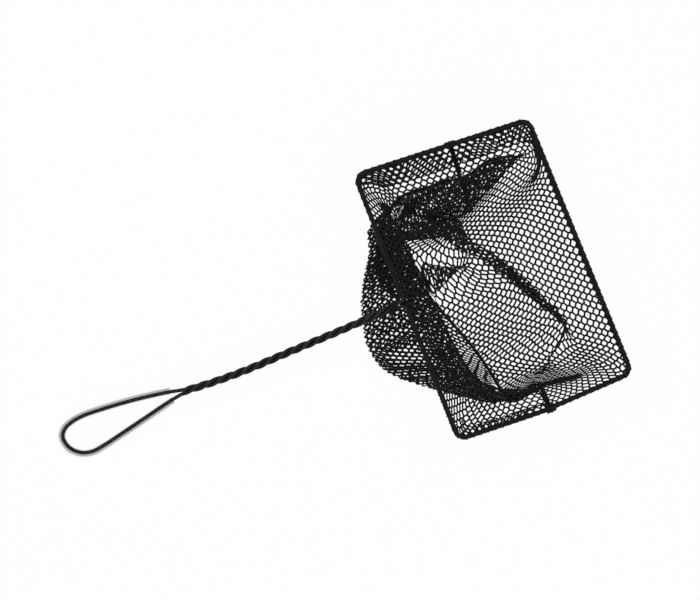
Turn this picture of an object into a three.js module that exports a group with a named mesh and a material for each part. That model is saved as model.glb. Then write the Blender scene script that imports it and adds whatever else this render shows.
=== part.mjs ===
// Hand net for ponds: a coated steel wire bent into an oblong hoop, twisted into a handle and
// ended in a hanging loop, with a bag of two netting panels sewn round the hoop.
// Millimetres. +Z is up and +X runs from the handle towards the far side of the hoop.
// The net lies on a surface at z = 0, on the bag's flat underside and the end of the loop.

import * as THREE from 'three';

// Wire
const COAT_DIAMETER = 3.5;
const CORE_DIAMETER = 2.2;
const CORE_CLEARANCE = 0.1;
const JOINT_GAP = 0.3;

// Hoop, along the middle of its wire
const HOOP_WIDTH = 172;
const HOOP_LENGTH = 260;
const HOOP_CORNER_RADIUS = 9;
const LOWER_BOW_RADIUS = 60;
const HANDLE_OFFSET = 6;
const TAIL_BEND_RADIUS = 4;
const TAIL_LENGTH = 2.5;

// Corners of the hoop, hand-bent and not quite square: shares of its half width and half
// length, and a bend radius, clockwise from the upper near corner. The fourth is the slight bow
// of the lower side.
const HOOP_CORNERS = [
  [-1.038, 1.03, HOOP_CORNER_RADIUS], [0.936, 0.982, HOOP_CORNER_RADIUS],
  [1.052, -0.982, HOOP_CORNER_RADIUS], [0, -1.023, LOWER_BOW_RADIUS],
  [-0.96, -1.008, HOOP_CORNER_RADIUS],
];

// Twisted handle
const HANDLE_LENGTH = 216;
const HANDLE_SAG = 8.3;
const TWIST_PITCH = 37;
const STRAND_CLEARANCE = 0.3;

// Hanging loop
const LOOP_LENGTH = 119;
const LOOP_SPREAD = 34.2;

// Soft sleeve over the loop
const SLEEVE_DIAMETER = 6.7;
const SLEEVE_WALL = 0.8;
const SLEEVE_SETBACK = 10;

// Netting, hem and seams
const NET_THICKNESS = 1.6;
const HEM_THICKNESS = 0.65;
const HEM_CLEARANCE = 0.1;
const SEAM_DIAMETER = 2.2;
const PANEL_GAP = 0.4;
const UPPER_SEAM_X = 4;
const LOWER_SEAM_X = 8;

// Knots and lashing
const UPPER_KNOT_DIAMETER = 7.4;
const LOWER_KNOT_DIAMETER = 9.6;
const KNOT_LENGTH = 9;
const LASHING_LENGTH = 8;
const LASHING_THICKNESS = 1.2;
const LASHING_CLEARANCE = 0.25;
const BARREL_SHARE = 0.5;

// How the net lies
const TILT = THREE.MathUtils.degToRad(5);
const HOOP_CENTRE_X = 45;
const FOLD_RISE = 10.2;
const SEAM_SPREAD = 4;

// Counts of rings, rows and sides
const STRAND_STEPS = 50;
const LOOP_STEPS = 30;
const SEAM_STEPS = 22;
const OPENINGS_ALONG = 12;
const OPENINGS_DOWN = 5;
const CELLS_PER_OPENING = 3;
const ROW_TENSION = 0.5;
const ARC_STEPS = 4;
const COAT_SIDES = 7;
const THIN_SIDES = 6;
const WIDE_SIDES = 8;
const BEAD_SIDES = 12;

// The bow of the handle, as shares of its length and its sag.
const HANDLE_BOW = [[0, 0], [0.26, 0.42], [0.5, 0.72], [0.68, 0.96], [0.84, 1], [1, 0.82]];

// The loop's route from one strand to the other, as shares of its length and its spread.
const LOOP_ROUTE = [
  [0.1, 0.12], [0.37, 0.24], [0.62, 0.3], [0.8, 0.31], [0.89, 0.26], [0.96, 0.16], [1, -0.01],
  [1, -0.22], [0.97, -0.44], [0.9, -0.63], [0.82, -0.69], [0.72, -0.64], [0.55, -0.5],
  [0.34, -0.32], [0.12, -0.13],
];

// Folds of the bag, in order from the upper side seam round to the lower one: shares of the half
// width and half length seen square to the hoop, and a rise that is 0 on the surface, 1 at the
// fold height and 2 at the hoop. The first and last places of a row lie beside the side seams, so
// they have no share of the width. All rows have as many places.
const NEAR_FOLD = [
  [0.51, 1], [-0.31, 0.57, 1], [-0.67, 0.73, 1], [-0.84, 0.72, 1.03], [-0.77, 0.52, 1.06],
  [-0.74, 0.31, 1.06], [-0.72, 0.08, 1.03], [-0.69, -0.12, 1], [-0.66, -0.3, 1],
  [-0.64, -0.45, 1], [-0.62, -0.55, 1], [-0.53, -0.65, 1], [-0.33, -0.78, 1], [-0.88, 1],
];
const BULGE = [
  [0.64, 0.66], [-0.3, 0.69, 0.66], [-0.65, 0.75, 0.66], [-1.07, 0.65, 0.56],
  [-1.24, 0.4, 0.41], [-1.4, 0.25, 0.41], [-1.49, 0.06, 0.41], [-1.55, -0.11, 0.41],
  [-1.52, -0.28, 0.41], [-1.4, -0.42, 0.41], [-1.14, -0.56, 0.41], [-0.79, -0.72, 0.46],
  [-0.42, -0.86, 0.61], [-0.87, 0.66],
];
const NEAR_UNDER = [
  [0.7, 0.41], [-0.29, 0.72, 0.41], [-0.64, 0.765, 0.41], [-0.98, 0.66, 0.41],
  [-1.13, 0.4, 0.12], [-1.26, 0.26, 0], [-1.36, 0.07, 0], [-1.42, -0.11, 0],
  [-1.39, -0.28, 0], [-1.27, -0.42, 0], [-1.03, -0.56, 0], [-0.72, -0.74, 0.22],
  [-0.38, -0.87, 0.41], [-0.86, 0.41],
];
const FAR_FOLD = [
  [0.51, 1], [0.42, 0.63, 1.09], [0.72, 0.75, 1.47], [0.74, 0.72, 1.72], [0.58, 0.55, 1.69],
  [0.49, 0.34, 1.63], [0.47, 0.11, 1.56], [0.57, -0.14, 1.63], [0.69, -0.38, 1.72],
  [0.74, -0.62, 1.78], [0.72, -0.78, 1.75], [0.65, -0.89, 1.72], [0.37, -0.91, 1.44], [-0.88, 1],
];
const FAR_LANDING = [
  [0.64, 0.41], [0.4, 0.8, 0.31], [0.63, 0.78, 0.51], [0.47, 0.63, 0.61], [0.09, 0.46, 0.51],
  [0.16, 0.31, 1.12], [0.23, 0.11, 1.16], [0.37, -0.12, 1.25], [0.51, -0.37, 1.41],
  [0.6, -0.6, 1.56], [0.51, -0.75, 1.41], [0.42, -0.85, 1.09], [0.26, -0.86, 0.71], [-0.87, 0.41],
];
const FAR_FLOOR = [
  [0.7, 0], [0.1, 0.755, 0], [0, 0.755, 0], [-0.2, 0.65, 0], [-0.35, 0.46, 0], [-0.4, 0.29, 0],
  [-0.38, 0.08, 0], [-0.28, -0.11, 0], [-0.15, -0.31, 0], [-0.02, -0.5, 0], [0.02, -0.66, 0],
  [0.04, -0.77, 0], [0.1, -0.81, 0], [-0.82, 0],
];

// The bottom seam, a row like the others.
const BOTTOM_SEAM = [
  [0.79, 0], [-0.26, 0.78, 0], [-0.64, 0.78, 0], [-0.84, 0.66, 0], [-0.79, 0.48, 0],
  [-0.77, 0.3, 0], [-0.74, 0.08, 0], [-0.64, -0.11, 0], [-0.52, -0.31, 0], [-0.43, -0.48, 0],
  [-0.36, -0.66, 0], [-0.3, -0.81, 0], [-0.14, -0.86, 0], [-0.85, 0],
];

// How far inside the bottom seam each panel's edge lies, in seam diameters, and the near edge's
// rise. The far edge lies on the surface.
const FAR_EDGE_SIDE = 1.3;
const NEAR_EDGE_SIDE = [1, 1, 1, 0, -1, -1, -1, -1, -1, -1, -1, -1, 0, 0];
const NEAR_EDGE_RISE = [0.41, 0.41, 0.41, 0.41, 0.22, 0, 0, 0, 0, 0, 0, 0.22, 0.41, 0.41];

// Each opening in the netting is two cells of its grid each way, with one cell between openings.
const rowsAlong = OPENINGS_ALONG * CELLS_PER_OPENING + 1;
const rowsDown = OPENINGS_DOWN * CELLS_PER_OPENING + 1;

const coatRadius = COAT_DIAMETER / 2;
const coreRadius = CORE_DIAMETER / 2;
const sleeveRadius = SLEEVE_DIAMETER / 2;
const seamRadius = SEAM_DIAMETER / 2;
const hemBore = coatRadius + HEM_CLEARANCE;
const hemRadius = hemBore + HEM_THICKNESS;
const halfWidth = HOOP_WIDTH / 2;
const halfLength = HOOP_LENGTH / 2;

// The twist ends with two of its strands side by side and the third above them.
const LAST_TURN = 5 / 6;
const twistTurns = Math.round(HANDLE_LENGTH / TWIST_PITCH - LAST_TURN) + LAST_TURN;
const STRAND_ANGLES = { a: 30, b: 150, c: 270 };

// Strands that touch one another have their middles this far from the handle's middle.
const touchingRadius = (COAT_DIAMETER + STRAND_CLEARANCE) / Math.sqrt(3);
const twistAngle = Math.atan(2 * Math.PI * touchingRadius * twistTurns / HANDLE_LENGTH);
const strandRadius = touchingRadius / Math.cos(twistAngle / 2);
const strandDrop = strandRadius / 2;
const tailSpread = strandRadius * Math.cos(Math.PI / 6);
const tailBend = tailSpread + TAIL_BEND_RADIUS;

// A strand leaves at a slant, so its cut end needs more room than a square one.
const slantGap = JOINT_GAP + COAT_DIAMETER * Math.tan(twistAngle);
const tailEndX = -halfWidth - TAIL_BEND_RADIUS - TAIL_LENGTH;
const handleStartX = tailEndX - slantGap;
const handleEndX = handleStartX - HANDLE_LENGTH;
const handleEndY = HANDLE_OFFSET - HANDLE_SAG * HANDLE_BOW[HANDLE_BOW.length - 1][1];

// The loop lies under the middle of the handle, and its end rests on the surface.
const loopDrop = 2 * strandDrop;
const loopEndX = handleEndX - LOOP_LENGTH;
const hoopHeight = sleeveRadius + loopDrop * Math.cos(TILT) - loopEndX * Math.sin(TILT);

// Heights of the middle of the netting where it lies on the surface and at its folds.
const floorLayer = NET_THICKNESS / 2;
const foldHeight = floorLayer + FOLD_RISE;

const materials = {
  coat: new THREE.MeshStandardMaterial({ color: 0x0c0c0d, roughness: 0.42, metalness: 0 }),
  core: new THREE.MeshStandardMaterial({ color: 0x8b8d90, roughness: 0.35, metalness: 1 }),
  sleeve: new THREE.MeshStandardMaterial({
    color: 0x8f9092, roughness: 0.25, metalness: 0, transparent: true, opacity: 0.45,
  }),
  netting: new THREE.MeshStandardMaterial({ color: 0x141415, roughness: 0.7, metalness: 0 }),
  hem: new THREE.MeshStandardMaterial({ color: 0x101011, roughness: 0.75, metalness: 0 }),
  yarn: new THREE.MeshStandardMaterial({ color: 0x0e0e0f, roughness: 0.8, metalness: 0 }),
};

// A route straight from point to point, with one ring of a tube at each point, set halfway
// between the legs that meet there.
class Route extends THREE.Curve {
  constructor(points) {
    super();
    this.points = points;
  }

  getUtoTmapping(u) {
    return u;
  }

  getPoint(t, target = new THREE.Vector3()) {
    const place = t * (this.points.length - 1);
    const index = Math.min(Math.floor(place), this.points.length - 2);
    return target.lerpVectors(this.points[index], this.points[index + 1], place - index);
  }

  getTangent(t, target = new THREE.Vector3()) {
    const last = this.points.length - 1;
    const index = Math.round(t * last);
    const leg = (i) => this.points[i + 1].clone().sub(this.points[i]).normalize();
    return target.addVectors(leg(Math.max(index - 1, 0)), leg(Math.min(index, last - 1))).normalize();
  }
}

function polygon(radius, sides) {
  const corners = [];
  for (let i = 0; i < sides; i += 1) {
    const angle = (i + 0.5) * 2 * Math.PI / sides;
    corners.push(new THREE.Vector2(radius * Math.cos(angle), radius * Math.sin(angle)));
  }
  return corners;
}

// A polygon that leaves a round bore free inside it.
function borePolygon(bore, sides) {
  return polygon(bore / Math.cos(Math.PI / sides), sides);
}

// A tube or, without a bore, a solid rod along a route.
function tube(points, radius, sides, bore = 0, boreSides = THIN_SIDES) {
  const section = new THREE.Shape(polygon(radius, sides));
  if (bore > 0) {
    section.holes.push(new THREE.Path(borePolygon(bore, boreSides).reverse()));
  }
  const steps = points.length - 1;
  return new THREE.ExtrudeGeometry(section, { steps, extrudePath: new Route(points) });
}

// The hoop's outline is straight sides and the arcs between them, counted clockwise from the
// start of its upper short side.
function outlineSegments() {
  const corners = HOOP_CORNERS.map(([x, y, radius]) => ({
    place: new THREE.Vector2(x * halfWidth, y * halfLength),
    radius,
  }));
  const count = corners.length;
  const fullTurn = 2 * Math.PI;
  const side = (i) => corners[(i + 1) % count].place.clone().sub(corners[i % count].place);
  const turnAt = (i) => (side(i + count - 1).angle() - side(i).angle() + fullTurn) % fullTurn;
  const tangent = (i) => corners[i % count].radius * Math.tan(turnAt(i) / 2);
  const segments = [];
  let start = 0;
  corners.forEach((corner, i) => {
    const heading = side(i).angle();
    const from = corner.place.clone().addScaledVector(side(i).normalize(), tangent(i));
    const length = side(i).length() - tangent(i) - tangent(i + 1);
    const { radius } = corners[(i + 1) % count];
    const arc = radius * turnAt(i + 1);
    segments.push({ start, from, heading, length, arc, radius });
    start += length + arc;
  });
  return segments;
}

const outline = outlineSegments();
const lastSegment = outline[outline.length - 1];
const outlineLength = lastSegment.start + lastSegment.length + lastSegment.arc;

function outlinePoint(length) {
  const rest = (length % outlineLength + outlineLength) % outlineLength;
  const segment = outline.findLast(({ start }) => start <= rest);
  const run = Math.min(rest - segment.start, segment.length);
  const turn = (rest - segment.start - run) / segment.radius;
  const along = run + segment.radius * Math.sin(turn);
  const inward = segment.radius * (1 - Math.cos(turn));
  const { from, heading } = segment;
  return new THREE.Vector3(
    from.x + Math.cos(heading) * along + Math.sin(heading) * inward,
    from.y + Math.sin(heading) * along - Math.cos(heading) * inward,
    0,
  );
}

// The outline between two lengths, with points only where a tube needs a ring.
function outlineRoute(from, to) {
  const lengths = [from];
  const leastStep = COAT_DIAMETER;
  for (let lap = -outlineLength; lap < to; lap += outlineLength) {
    for (const { start, length, arc } of outline) {
      lengths.push(lap + start + length / 2);
      for (let i = 0; i <= ARC_STEPS; i += 1) {
        lengths.push(lap + start + length + arc * i / ARC_STEPS);
      }
    }
  }
  lengths.push(to);
  const kept = lengths.filter((s) => s === from || s === to || (s > from + leastStep && s < to - leastStep));
  return kept.map(outlinePoint);
}

// Lengths along the outline of the seams and of the middle between the wire's two ends.
const [upperSide, , lowerSide, , nearSide] = outline;
const upperSeamLength = upperSide.start + (UPPER_SEAM_X - upperSide.from.x) / Math.cos(upperSide.heading);
const lowerSeamLength = lowerSide.start + (LOWER_SEAM_X - lowerSide.from.x) / Math.cos(lowerSide.heading);
const tailPlace = nearSide.start + (HANDLE_OFFSET - nearSide.from.y) / Math.sin(nearSide.heading);

// The wire round the hoop, with both ends turned out towards the handle.
function hoopRoute() {
  const round = outlineRoute(tailPlace - outlineLength + tailBend, tailPlace - tailBend);
  const upperTail = [new THREE.Vector3(tailEndX, tailSpread, 0)];
  for (let i = 0; i < ARC_STEPS; i += 1) {
    const turn = i / ARC_STEPS * Math.PI / 2;
    const x = -halfWidth - TAIL_BEND_RADIUS + TAIL_BEND_RADIUS * Math.sin(turn);
    const y = tailSpread + TAIL_BEND_RADIUS * (1 - Math.cos(turn));
    upperTail.push(new THREE.Vector3(x, y, 0));
  }
  const lowerTail = upperTail.map(({ x, y, z }) => new THREE.Vector3(x, HANDLE_OFFSET - y, z)).reverse();
  upperTail.forEach((point) => {
    point.y += HANDLE_OFFSET;
  });
  return [...upperTail, ...round, ...lowerTail];
}

const handleMiddle = new THREE.CatmullRomCurve3(HANDLE_BOW.map(([along, aside]) => new THREE.Vector3(
  handleStartX - along * HANDLE_LENGTH,
  HANDLE_OFFSET - aside * HANDLE_SAG,
  -strandDrop,
)));

// One strand of the twist. Its angle is counted from +Y towards +Z.
function strandRoute(startDegrees) {
  const points = [];
  for (let i = 0; i <= STRAND_STEPS; i += 1) {
    const share = i / STRAND_STEPS;
    const point = handleMiddle.getPointAt(share);
    const along = handleMiddle.getTangentAt(share);
    const angle = THREE.MathUtils.degToRad(startDegrees) + share * twistTurns * 2 * Math.PI;
    point.addScaledVector(new THREE.Vector3(along.y, -along.x, 0), strandRadius * Math.cos(angle));
    point.z += strandRadius * Math.sin(angle);
    points.push(point);
  }
  return points;
}

// The loop runs from the end of one strand to the end of another.
const loopCurve = new THREE.CatmullRomCurve3([
  strandRoute(STRAND_ANGLES.a)[STRAND_STEPS].setX(handleEndX - slantGap),
  ...LOOP_ROUTE.map(([along, aside]) => new THREE.Vector3(
    handleEndX - along * LOOP_LENGTH,
    handleEndY + aside * LOOP_SPREAD,
    -loopDrop,
  )),
  strandRoute(STRAND_ANGLES.c)[STRAND_STEPS].setX(handleEndX - slantGap),
], false, 'centripetal');

function loopRoute(setback = 0) {
  const from = setback / loopCurve.getLength();
  const points = [];
  for (let i = 0; i <= LOOP_STEPS; i += 1) {
    points.push(loopCurve.getPointAt(from + (1 - 2 * from) * i / LOOP_STEPS));
  }
  return points;
}

// A place seen square to the hoop, brought down to a height above the surface.
function seenAt(x, y, height) {
  const above = (height - hoopHeight - x * Math.sin(TILT)) / Math.cos(TILT);
  return new THREE.Vector3(HOOP_CENTRE_X + x * Math.cos(TILT) - above * Math.sin(TILT), y, height);
}

// A place on the hoop's outline, with a distance under the hoop.
function underHoop(length, below) {
  const { x, y } = outlinePoint(length);
  const across = x * Math.cos(TILT) + below * Math.sin(TILT);
  const height = hoopHeight + x * Math.sin(TILT) - below * Math.cos(TILT);
  return new THREE.Vector3(HOOP_CENTRE_X + across, y, height);
}

// The height of a rise: 0 on the surface, 1 at the fold height and 2 at the hoop.
function heightAt(rise) {
  const folded = Math.min(rise, 1) * (foldHeight - floorLayer);
  return floorLayer + folded + Math.max(rise - 1, 0) * (hoopHeight - foldHeight);
}

// A smooth curve through a row's places.
function smoothRow(points) {
  return new THREE.CatmullRomCurve3(points, false, 'catmullrom', ROW_TENSION);
}

// A smooth row of folds from the upper seam to the lower one, passing a seam at a distance.
function foldRow([first, ...places], spread) {
  const last = places.pop();
  return smoothRow([
    seenAt(UPPER_SEAM_X + spread, first[0] * halfLength, heightAt(first[1])),
    ...places.map(([x, y, rise]) => seenAt(x * halfWidth, y * halfLength, heightAt(rise))),
    seenAt(LOWER_SEAM_X + spread, last[0] * halfLength, heightAt(last[1])),
  ]);
}

const farRows = [FAR_FOLD, FAR_LANDING, FAR_FLOOR].map((row) => foldRow(row, SEAM_SPREAD));
const nearRows = [NEAR_FOLD, BULGE, NEAR_UNDER].map((row) => foldRow(row, -SEAM_SPREAD));
const bottomRow = foldRow(BOTTOM_SEAM, -SEAM_SPREAD);

// A panel's edge beside the bottom seam: how far inside it at each place, and how high.
function edgeRow(sideAt, riseAt) {
  return smoothRow(bottomRow.points.map((point, i) => {
    const along = bottomRow.getTangent(i / (bottomRow.points.length - 1));
    const inward = new THREE.Vector3(-along.y, along.x, 0).setLength(SEAM_DIAMETER);
    return point.clone().addScaledVector(inward, sideAt(i)).setZ(heightAt(riseAt(i)));
  }));
}

farRows.push(edgeRow(() => FAR_EDGE_SIDE, () => 0));
nearRows.push(edgeRow((i) => NEAR_EDGE_SIDE[i], (i) => NEAR_EDGE_RISE[i]));

// A smooth line through fold points, with its own points closer together near the folds.
function foldedLine(points, steps) {
  const curve = new THREE.CatmullRomCurve3(points, false, 'centripetal');
  const legs = points.length - 1;
  const legSteps = Math.round(steps / legs);
  const line = [curve.getPoint(0)];
  for (let leg = 0; leg < legs; leg += 1) {
    for (let i = 1; i <= legSteps; i += 1) {
      const share = (1 - Math.cos(Math.PI * i / legSteps)) / 2;
      line.push(curve.getPoint((leg + share) / legs));
    }
  }
  return line;
}

// How far under the hoop the netting starts: clear of the hem, and of a knot where there is one.
function rimClearance(length) {
  const turned = length % outlineLength;
  const upper = Math.abs(turned - upperSeamLength) < KNOT_LENGTH ? UPPER_KNOT_DIAMETER / 2 : 0;
  const lower = Math.abs(turned - lowerSeamLength) < KNOT_LENGTH ? LOWER_KNOT_DIAMETER / 2 : 0;
  return Math.max(hemRadius, upper, lower) + PANEL_GAP + NET_THICKNESS / 2;
}

// Both faces of a sheet of even thickness round a grid of middle points, above the surface.
function sheetFaces(grid) {
  const along = grid.length;
  const down = grid[0].length;
  const upper = [];
  const lower = [];
  for (let i = 0; i < along; i += 1) {
    for (let j = 0; j < down; j += 1) {
      const du = grid[Math.min(i + 1, along - 1)][j].clone().sub(grid[Math.max(i - 1, 0)][j]);
      const dv = grid[i][Math.min(j + 1, down - 1)].clone().sub(grid[i][Math.max(j - 1, 0)]);
      const normal = du.cross(dv).setLength(NET_THICKNESS / 2);
      const middle = grid[i][j].clone();
      middle.z = Math.max(middle.z, floorLayer);
      upper.push(middle.clone().add(normal));
      lower.push(middle.clone().sub(normal));
    }
  }
  [...upper, ...lower].forEach((point) => {
    point.z = Math.max(point.z, 0);
  });
  return { upper, lower };
}

// A closed sheet of netting round a grid of middle points, with a plain grid of openings.
function sheetSolid(grid) {
  const cellsAlong = grid.length - 1;
  const cellsDown = grid[0].length - 1;
  const { upper, lower } = sheetFaces(grid);
  const top = (i, j) => i * (cellsDown + 1) + j;
  const under = (i, j) => upper.length + top(i, j);
  const inside = (i, j) => i >= 0 && j >= 0 && i < cellsAlong && j < cellsDown;
  const isYarn = (i, j) => inside(i, j) && (i % CELLS_PER_OPENING === 0 || j % CELLS_PER_OPENING === 0);
  const triangles = [];
  const quad = (a, b, c, d) => triangles.push(a, b, c, a, c, d);
  const wall = (i, j, nextI, nextJ) => quad(top(i, j), under(i, j), under(nextI, nextJ), top(nextI, nextJ));
  for (let i = 0; i < cellsAlong; i += 1) {
    for (let j = 0; j < cellsDown; j += 1) {
      if (isYarn(i, j)) {
        quad(top(i, j), top(i + 1, j), top(i + 1, j + 1), top(i, j + 1));
        quad(under(i, j), under(i, j + 1), under(i + 1, j + 1), under(i + 1, j));
        if (!isYarn(i, j - 1)) wall(i, j, i + 1, j);
        if (!isYarn(i + 1, j)) wall(i + 1, j, i + 1, j + 1);
        if (!isYarn(i, j + 1)) wall(i + 1, j + 1, i, j + 1);
        if (!isYarn(i - 1, j)) wall(i, j + 1, i, j);
      }
    }
  }
  const geometry = new THREE.BufferGeometry();
  const positions = [...upper, ...lower].flatMap((point) => point.toArray());
  geometry.setAttribute('position', new THREE.Float32BufferAttribute(positions, 3));
  geometry.setIndex(triangles);
  geometry.computeVertexNormals();
  return geometry;
}

// A panel of netting that hangs from the rim between two lengths and passes through fold rows.
function panel(from, to, rows) {
  const grid = [];
  for (let i = 0; i <= rowsAlong; i += 1) {
    const share = i / rowsAlong;
    const length = from + (to - from) * share;
    const top = underHoop(length, rimClearance(length));
    grid.push(foldedLine([top, ...rows.map((row) => row.getPoint(share))], rowsDown));
  }
  return sheetSolid(grid);
}

// A side seam from its knot, over the fold, to the bottom of the bag.
function sideSeam(length, x, side) {
  const foot = nearRows[nearRows.length - 1].points.at(side).z;
  const points = [
    underHoop(length, rimClearance(length)),
    seenAt(x, NEAR_FOLD.at(side)[0] * halfLength, foldHeight),
    seenAt(x, BOTTOM_SEAM.at(side)[0] * halfLength, foot),
  ];
  return tube(foldedLine(points, SEAM_STEPS), seamRadius, THIN_SIDES);
}

function bottomSeam() {
  const points = [];
  for (let i = 1; i < rowsAlong; i += 1) {
    points.push(bottomRow.getPoint(i / rowsAlong).setZ(seamRadius));
  }
  return tube(points, seamRadius, THIN_SIDES);
}

// A bead with a bore, made by turning a rounded profile that closes on itself.
function bead(radius, length, bore) {
  const boreCorner = bore / Math.cos(Math.PI / BEAD_SIDES);
  const shoulder = (radius + boreCorner) / 2;
  const halfBarrel = length / 2 * BARREL_SHARE;
  const profile = [
    [boreCorner, -length / 2], [shoulder, -length / 2], [radius, -halfBarrel], [radius, halfBarrel],
    [shoulder, length / 2], [boreCorner, length / 2], [boreCorner, -length / 2],
  ];
  return new THREE.LatheGeometry(profile.map(([x, y]) => new THREE.Vector2(x, y)), BEAD_SIDES);
}

function addMesh(parent, name, geometry, material) {
  const mesh = new THREE.Mesh(geometry, material);
  mesh.name = name;
  parent.add(mesh);
  return mesh;
}

// A bead threaded on a wire that runs at an angle from X.
function addBead(parent, name, place, heading, geometry) {
  const mesh = addMesh(parent, name, geometry, materials.yarn);
  mesh.rotation.z = heading - Math.PI / 2;
  mesh.position.copy(place);
}

const net = new THREE.Group();
const frame = new THREE.Group();
frame.position.set(HOOP_CENTRE_X, 0, hoopHeight);
frame.rotation.y = -TILT;
net.add(frame);

// Wire: hoop, three strands and loop, each with its core inside its coat.
const wires = { hoop: hoopRoute(), loop: loopRoute() };
for (const [letter, degrees] of Object.entries(STRAND_ANGLES)) {
  wires[`strand_${letter}`] = strandRoute(degrees);
}
for (const [name, route] of Object.entries(wires)) {
  const coat = tube(route, coatRadius, COAT_SIDES, coreRadius + CORE_CLEARANCE);
  addMesh(frame, `${name}_coat`, coat, materials.coat);
  addMesh(frame, `${name}_core`, tube(route, coreRadius, THIN_SIDES), materials.core);
}

// Sleeve over the loop.
const sleeveBore = sleeveRadius - SLEEVE_WALL;
const sleeve = tube(loopRoute(SLEEVE_SETBACK), sleeveRadius, WIDE_SIDES, sleeveBore, WIDE_SIDES);
addMesh(frame, 'grip_sleeve', sleeve, materials.sleeve);

// Hems rolled over the hoop, between the knots and the handle.
const knotRoom = KNOT_LENGTH / 2 + JOINT_GAP;
const tailRoom = tailBend + JOINT_GAP;
const hems = {
  rim_hem_far: [upperSeamLength + knotRoom, lowerSeamLength - knotRoom],
  rim_hem_near_lower: [lowerSeamLength + knotRoom, tailPlace - tailRoom],
  rim_hem_near_upper: [tailPlace - outlineLength + tailRoom, upperSeamLength - knotRoom],
};
for (const [name, [from, to]] of Object.entries(hems)) {
  const hem = tube(outlineRoute(from, to), hemRadius, WIDE_SIDES, hemBore, WIDE_SIDES);
  addMesh(frame, name, hem, materials.hem);
}

// Knots where the side seams are tied to the hoop, and the lashing where the handle starts.
const upperKnot = bead(UPPER_KNOT_DIAMETER / 2, KNOT_LENGTH, hemBore);
const lowerKnot = bead(LOWER_KNOT_DIAMETER / 2, KNOT_LENGTH, hemBore);
addBead(frame, 'seam_knot_upper', outlinePoint(upperSeamLength), upperSide.heading, upperKnot);
addBead(frame, 'seam_knot_lower', outlinePoint(lowerSeamLength), lowerSide.heading, lowerKnot);
const lashingBore = strandRadius + coatRadius + LASHING_CLEARANCE;
const lashing = bead(lashingBore + LASHING_THICKNESS, LASHING_LENGTH, lashingBore);
const lashingPlace = new THREE.Vector3(handleStartX - LASHING_LENGTH / 2, HANDLE_OFFSET, -strandDrop);
addBead(frame, 'junction_lashing', lashingPlace, 0, lashing);

// Panels of netting, with their edges drawn back from the seams, and the seams.
const seamRoom = seamRadius + PANEL_GAP;
const farPanel = panel(upperSeamLength + seamRoom, lowerSeamLength - seamRoom, farRows);
const nearPanel = panel(upperSeamLength + outlineLength - seamRoom, lowerSeamLength + seamRoom, nearRows);
addMesh(net, 'net_panel_far', farPanel, materials.netting);
addMesh(net, 'net_panel_near', nearPanel, materials.netting);
addMesh(net, 'side_seam_upper', sideSeam(upperSeamLength, UPPER_SEAM_X, 0), materials.yarn);
addMesh(net, 'side_seam_lower', sideSeam(lowerSeamLength, LOWER_SEAM_X, -1), materials.yarn);
addMesh(net, 'bottom_seam', bottomSeam(), materials.yarn);

export default net;
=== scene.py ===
"""Looks of a hand net for ponds: coated wire hoop, twisted handle, sleeved hanging loop and bag."""

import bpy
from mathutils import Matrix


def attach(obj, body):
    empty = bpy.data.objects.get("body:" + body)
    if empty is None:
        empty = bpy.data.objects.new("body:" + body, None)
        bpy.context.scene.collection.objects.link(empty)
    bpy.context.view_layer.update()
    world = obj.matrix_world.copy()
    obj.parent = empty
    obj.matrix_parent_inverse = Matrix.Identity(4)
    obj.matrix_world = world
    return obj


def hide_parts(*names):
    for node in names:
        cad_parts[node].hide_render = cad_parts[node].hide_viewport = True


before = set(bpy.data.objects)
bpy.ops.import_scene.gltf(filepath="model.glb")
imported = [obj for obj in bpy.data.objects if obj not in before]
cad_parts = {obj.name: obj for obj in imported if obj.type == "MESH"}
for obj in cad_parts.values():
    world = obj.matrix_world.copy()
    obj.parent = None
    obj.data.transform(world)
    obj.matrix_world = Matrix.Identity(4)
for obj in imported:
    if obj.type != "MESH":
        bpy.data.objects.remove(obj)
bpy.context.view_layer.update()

import copy
import math

import bmesh
import bpy
import numpy as np
from mathutils import Matrix, Vector

bl_info = {
    "name": "Pond net",
    "version": (1, 0, 0),
    "blender": (4, 5, 0),
    "location": "3D View > Sidebar > Pond net",
    "description": "Builds the wire, the sleeve, the netting and the studio of a pond net",
    "category": "Object",
}

MM = 0.001

# The hoop's own frame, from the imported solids: its middle, and its tilt about Y.
TILT = math.radians(5)
HOOP_CENTRE = Vector((45, 0, 42.966))
HOOP_FRAME = Matrix.Translation(HOOP_CENTRE) @ Matrix.Rotation(-TILT, 4, "Y")

# Corners of the hoop, as shares of its half width and half length, clockwise from above, and the
# radius of each bend in millimetres.
HOOP_CORNERS = (
    (-1.038, 1.03, 9), (0.936, 0.982, 9), (1.052, -0.982, 9), (0, -1.023, 60), (-0.96, -1.008, 9),
)

# Where the side seams cross the hoop, and how far the handle stands off its middle.
UPPER_SEAM_X = 4
LOWER_SEAM_X = 8
HANDLE_OFFSET = 6

# The twist: its bow as shares of its length and sag, the angles at which its strands start, the
# room between them, and the part of a turn that brings their ends side by side.
HANDLE_BOW = ((0, 0), (0.26, 0.42), (0.5, 0.72), (0.68, 0.96), (0.84, 1), (1, 0.82))
STRAND_ANGLES = (30, 150, 270)
STRAND_GAP = 0.3
PART_TURN = 5 / 6

# The straight tails of the hoop at the handle, the bends from them into the hoop, and the steps
# round it.
HOOP_TAIL = 6.5
HOOP_BEND = 4
HOOP_STEP = 1.2

# The loop, as shares of its length and spread.
LOOP_ROUTE = (
    (0.1, 0.12), (0.37, 0.24), (0.62, 0.3), (0.8, 0.31), (0.89, 0.26), (0.96, 0.16), (1, -0.01),
    (1, -0.22), (0.97, -0.44), (0.9, -0.63), (0.82, -0.69), (0.72, -0.64), (0.55, -0.5),
    (0.34, -0.32), (0.12, -0.13),
)

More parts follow.
